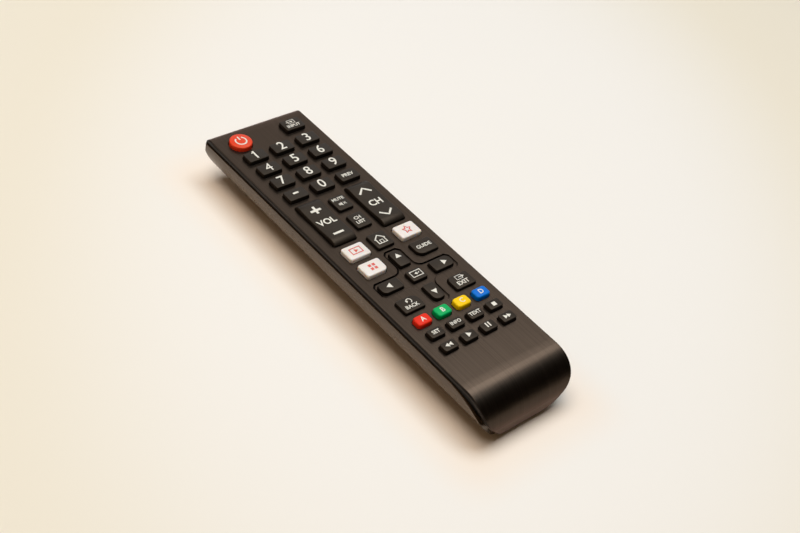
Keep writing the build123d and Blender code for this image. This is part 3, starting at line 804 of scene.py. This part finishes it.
def word(text, x, y, height, bold=0.035):
    """Text of a given capital height, centred on a point."""
    bpy.ops.object.text_add()
    label = bpy.context.object
    label.data.body = text
    label.data.size = size_per_capital * height * mm
    label.data.offset = bold * height * mm
    label.data.extrude = ink_depth / 2
    label.data.resolution_u = 3
    bpy.ops.object.convert(target="MESH")
    label = bpy.context.object
    corners = [v.co for v in label.data.vertices]
    low = [min(c[i] for c in corners) for i in range(3)]
    high = [max(c[i] for c in corners) for i in range(3)]
    label.location = (x * mm - (low[0] + high[0]) / 2, y * mm - (low[1] + high[1]) / 2, 0)
    bpy.ops.object.transform_apply()
    return label


def bar(x, y, length, width):
    """A straight stroke with square ends."""
    size = (length * mm, width * mm, ink_depth)
    bpy.ops.mesh.primitive_cube_add(size=1, location=(x * mm, y * mm, 0), scale=size)
    bpy.ops.object.transform_apply()
    return bpy.context.object


def wedge(x, y, radius, turn, squeeze=1.0):
    """A three-cornered mark that points along +X before it is turned."""
    bpy.ops.mesh.primitive_cylinder_add(vertices=3, radius=radius * mm, depth=ink_depth)
    mark = bpy.context.object
    mark.rotation_euler = (0, 0, -math.pi / 2)
    bpy.ops.object.transform_apply()
    mark.scale = (squeeze, 1, 1)
    mark.rotation_euler = (0, 0, math.radians(turn))
    mark.location = (x * mm, y * mm, 0)
    bpy.ops.object.transform_apply()
    return mark


def line(points, width, closed=False):
    """A round stroke through points, pressed flat."""
    bpy.ops.curve.primitive_bezier_curve_add()
    pen = bpy.context.object
    pen.data.splines.clear()
    spline = pen.data.splines.new("POLY")
    spline.points.add(len(points) - 1)
    for point, (x, y) in zip(spline.points, points):
        point.co = (x * mm, y * mm, 0, 1)
    spline.use_cyclic_u = closed
    pen.data.bevel_depth = width * mm / 2
    pen.data.bevel_resolution = 1
    pen.data.use_fill_caps = True
    pen.scale = (1, 1, ink_depth / (width * mm))
    bpy.ops.object.convert(target="MESH")
    bpy.ops.object.transform_apply()
    return bpy.context.object


def arc(x, y, radius, start, end, steps):
    """Points on an arc, for a line."""
    angles = [math.radians(start + (end - start) * i / steps) for i in range(steps + 1)]
    return [(x + radius * math.cos(a), y + radius * math.sin(a)) for a in angles]


def rectangle(x, y, width, height):
    """Corners of a rectangle, for a closed line."""
    w, h = width / 2, height / 2
    return [(x - w, y - h), (x + w, y - h), (x + w, y + h), (x - w, y + h)]


def print_legend(node, marks, place, lean=0.0, ink=ink_cream, slot="white_plastic", name=None):
    """Joins the marks of one key and lays them on a place; lean follows a sloping top."""
    bpy.ops.object.select_all(action="DESELECT")
    for mark in marks:
        mark.select_set(True)
    bpy.context.view_layer.objects.active = marks[0]
    if len(marks) > 1:
        bpy.ops.object.join()
    piece = bpy.context.object
    lift = Vector(place) + Vector((0, 0, ink_height - ink_depth / 2))
    piece.data.transform(Matrix.Translation(lift) @ Matrix.Rotation(lean, 4, "X"))
    settle(piece, name or node + "_legend", ink, body_of_node[node])


print("strokes ready")

# %% [markdown]
# What each key says. Distances are millimetres from the middle of the key, x to the right
# and y towards the far end. The digits are printed a little bold, apart from the 4, whose
# eye would close. The font's 1 has hardly a flag, so a stroke gives it one.

# %% Digits
def on_key(node, marks, **more):
    """Lays marks on a key's flat top."""
    low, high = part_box(node)
    middle = (low + high) / 2
    print_legend(node, marks, (middle.x, middle.y, key_top[node]), **more)


for digit, name in enumerate(digit_names):
    marks = [word(str(digit), 0, 0.5, 4.1, bold=0.0 if digit == 4 else 0.014)]
    if digit == 1:
        marks.append(line([(-0.95, 1.35), (0.0, 2.2)], 0.6))
    on_key(name, marks)
on_key("dash_key", [bar(0.1, 0.5, 2.3, 0.8)])
print("digits printed")

# %% Legends of the plain keys
on_key("power_key", [line(arc(0, 0, 2.0, 125, 415, 28), 0.82), line([(0, 0.6), (0, 2.5)], 0.82)])
on_key(
    "source_key",
    [
        line(rectangle(0.1, 1.25, 2.8, 1.8), 0.42, True),
        line([(-2.0, 1.25), (0.3, 1.25)], 0.42),
        wedge(0.35, 1.25, 0.65, 0),
        word("INPUT", 0, -0.95, 1.4),
    ],
)
on_key("previous_key", [word("PREV", 0, 0.1, 1.55)])
on_key(
    "mute_key",
    [
        word("MUTE", 0.1, 1.9, 1.35),
        bar(-1.0, -0.8, 0.7, 0.9),
        wedge(-0.35, -0.8, 1.05, 180, 0.8),
        line([(0.6, -0.25), (1.6, -1.35)], 0.36),
        line([(0.6, -1.35), (1.6, -0.25)], 0.36),
    ],
)
on_key("list_key", [word("CH", 0, 1.15, 1.45), word("LIST", 0, -0.95, 1.45)])
on_key(
    "home_key",
    [
        line([(-2.2, 0.3), (0, 2.2), (2.2, 0.3)], 0.7),
        line([(-1.7, 0.6), (-1.7, -1.7), (1.7, -1.7), (1.7, 0.6)], 0.7),
        line([(-0.6, -1.6), (-0.6, -0.2), (0.6, -0.2), (0.6, -1.6)], 0.5),
    ],
)
on_key("guide_key", [word("GUIDE", 0.1, 0.2, 1.5)])
on_key("up_key", [wedge(0.1, 0.95, 1.35, 90)])
on_key("down_key", [wedge(0.1, -0.2, 1.35, -90)])
on_key("left_key", [wedge(-0.3, 0.1, 1.35, 180)])
on_key("right_key", [wedge(0.9, 0.1, 1.35, 0)])
on_key(
    "select_key",
    [
        line(rectangle(0.2, 0.3, 4.2, 2.5), 0.6, True),
        wedge(0.1, 0.3, 0.75, 180),
        line([(0.2, 0.3), (1.3, 0.3), (1.3, 0.85)], 0.42),
    ],
)
on_key(
    "return_key",
    [
        line(arc(0.3, 1.2, 0.95, -70, 160, 12), 0.5),
        wedge(-0.6, 1.2, 0.65, 250),
        word("BACK", 0, -1.0, 1.45),
    ],
)
on_key(
    "exit_key",
    [
        line(rectangle(0.0, 1.45, 2.5, 1.7), 0.45, True),
        line([(-0.2, 1.45), (1.7, 1.45)], 0.45),
        wedge(1.7, 1.45, 0.6, 0),
        word("EXIT", 0, -0.95, 1.7),
    ],
)
print("plain keys have their legends")

# %% Legends of the small keys
for letter, name in zip("ABCD", ("red_key", "green_key", "yellow_key", "blue_key")):
    on_key(name, [word(letter, 0.1, 0.1, 1.9, bold=0.03)])
on_key("settings_key", [word("SET", 0.1, 0.2, 1.4)])
on_key("info_key", [word("INFO", 0.1, 0.2, 1.35)])
on_key("caption_key", [word("TEXT", 0.1, 0.2, 1.4)])
on_key("stop_key", [bar(0, 0, 1.6, 1.6)])
on_key("rewind_key", [wedge(-0.6, 0.2, 0.98, 180), wedge(0.8, 0.2, 0.98, 180)])
on_key("play_key", [wedge(0.0, 0.4, 1.2, 0)])
on_key("pause_key", [bar(-0.5, 0.4, 0.5, 2.0), bar(0.65, 0.4, 0.5, 2.0)])
on_key("forward_key", [wedge(-0.8, 0.1, 0.98, 0), wedge(0.6, 0.1, 0.98, 0)])
print("small keys have their legends")

# %% [markdown]
# The three white keys carry a plain sign each in red: a screen with a play mark, a star, and
# four tiles.

# %% Signs of the white keys
def star(radius, inner):
    """Corners of a five-pointed star, for a closed line."""
    spots = [(radius if i % 2 == 0 else inner, 90 + 36 * i) for i in range(10)]
    return [(r * math.cos(math.radians(a)), r * math.sin(math.radians(a))) for r, a in spots]


red_ink = {"ink": ink_red, "slot": "red_rubber"}
screen = [line(rectangle(0, 0.1, 4.2, 2.6), 0.75, True), wedge(-0.1, 0.1, 0.95, 0)]
on_key("shortcut_key_left", screen, **red_ink)
on_key("shortcut_key_right", [line(star(1.75, 0.8), 0.8, True)], **red_ink)
tiles = [bar(x, y, 1.1, 1.1) for x in (-0.8, 0.8) for y in (-0.7, 0.9)]
on_key("shortcut_key_lower", tiles, **red_ink)
print("white keys have their signs")

# %% [markdown]
# A mark on a rocker lies on a dished top, so it is raised to the height there and leans as
# the top does. The plus is three bars that meet without overlapping, because faces that lie
# in one another flicker.

# %% Legends of the rockers
def on_rocker(node, name, marks, distance):
    """Lays marks on a rocker at a distance, in mm, from its middle."""
    middle, half = rocker_middle[node]
    height, before, after = [
        rocker_height((distance + step) * mm, half) for step in (0, -0.5, 0.5)
    ]
    place = (middle.x, middle.y + distance * mm, fascia_z + height)
    print_legend(node, marks, place, lean=math.atan((after - before) / mm), name=name)


plus = [bar(0, 0, 4.3, 0.95), bar(0, 1.31, 0.95, 1.67), bar(0, -1.31, 0.95, 1.67)]
on_rocker("volume_rocker", "volume_up_legend", plus, 5.7)
on_rocker("volume_rocker", "volume_word_legend", [word("VOL", 0, 0, 2.7)], -0.4)
on_rocker("volume_rocker", "volume_down_legend", [bar(0, 0, 4.3, 0.95)], -6.9)
up_chevron = [line([(-2.6, -1.2), (0, 1.2), (2.6, -1.2)], 1.3)]
on_rocker("channel_rocker", "channel_up_legend", up_chevron, 6.2)
on_rocker("channel_rocker", "channel_word_legend", [word("CH", 0, 0, 2.8)], -0.3)
down_chevron = [line([(-2.6, 1.2), (0, -1.2), (2.6, 1.2)], 1.3)]
on_rocker("channel_rocker", "channel_down_legend", down_chevron, -6.7)
print("rockers have their legends")
